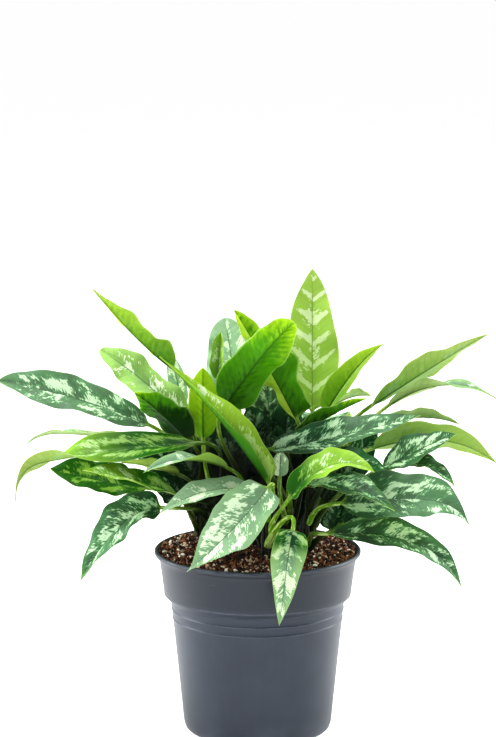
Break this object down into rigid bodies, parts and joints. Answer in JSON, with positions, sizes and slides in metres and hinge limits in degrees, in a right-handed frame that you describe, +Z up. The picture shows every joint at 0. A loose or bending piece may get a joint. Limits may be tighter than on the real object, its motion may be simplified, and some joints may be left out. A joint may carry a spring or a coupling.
{
  "type": "potted chinese evergreen",
  "caption": "Potted foliage house plant: broad pointed variegated leaves on petioles, fanning from short canes in a round tapered nursery pot.",
  "frame": {"origin": "centre of the pot's base, on the surface that the pot stands on", "axes": "+Z up along the pot's axis; -Y is the side that the plant is looked at from; +X to the right from there"},
  "size_m": [0.4565, 0.3344, 0.418],
  "materials": {
    "pot_plastic": "satin",
    "potting_mix": "matte",
    "cane_skin": "satin",
    "leaf_skin": "satin"
  },
  "bodies": {
    "root": {"pot": "pot_plastic", "soil": "potting_mix", "cane_a": "cane_skin", "cane_b": "cane_skin", "cane_c": "cane_skin", "cane_d": "cane_skin", "cane_e": "cane_skin", "cane_f": "cane_skin", "cane_g": "cane_skin", "cane_h": "cane_skin", "cane_i": "cane_skin", "leaf_01": "leaf_skin", "leaf_02": "leaf_skin", "leaf_03": "leaf_skin", "leaf_04": "leaf_skin", "leaf_05": "leaf_skin", "leaf_06": "leaf_skin", "leaf_07": "leaf_skin", "leaf_08": "leaf_skin", "leaf_09": "leaf_skin", "leaf_10": "leaf_skin", "leaf_11": "leaf_skin", "leaf_12": "leaf_skin", "leaf_13": "leaf_skin", "leaf_14": "leaf_skin", "leaf_15": "leaf_skin", "leaf_16": "leaf_skin", "leaf_17": "leaf_skin", "leaf_18": "leaf_skin", "leaf_19": "leaf_skin", "leaf_20": "leaf_skin", "leaf_21": "leaf_skin", "leaf_22": "leaf_skin", "leaf_23": "leaf_skin", "leaf_24": "leaf_skin", "leaf_25": "leaf_skin", "leaf_26": "leaf_skin", "leaf_27": "leaf_skin", "leaf_28": "leaf_skin", "leaf_29": "leaf_skin", "leaf_30": "leaf_skin", "leaf_31": "leaf_skin", "leaf_32": "leaf_skin", "leaf_33": "leaf_skin", "leaf_34": "leaf_skin", "leaf_35": "leaf_skin", "leaf_36": "leaf_skin", "leaf_37": "leaf_skin", "leaf_38": "leaf_skin", "leaf_39": "leaf_skin", "leaf_40": "leaf_skin", "leaf_41": "leaf_skin", "leaf_42": "leaf_skin", "leaf_43": "leaf_skin", "leaf_44": "leaf_skin", "leaf_45": "leaf_skin", "leaf_46": "leaf_skin", "leaf_47": "leaf_skin", "leaf_48": "leaf_skin"}
  },
  "joints": []
}
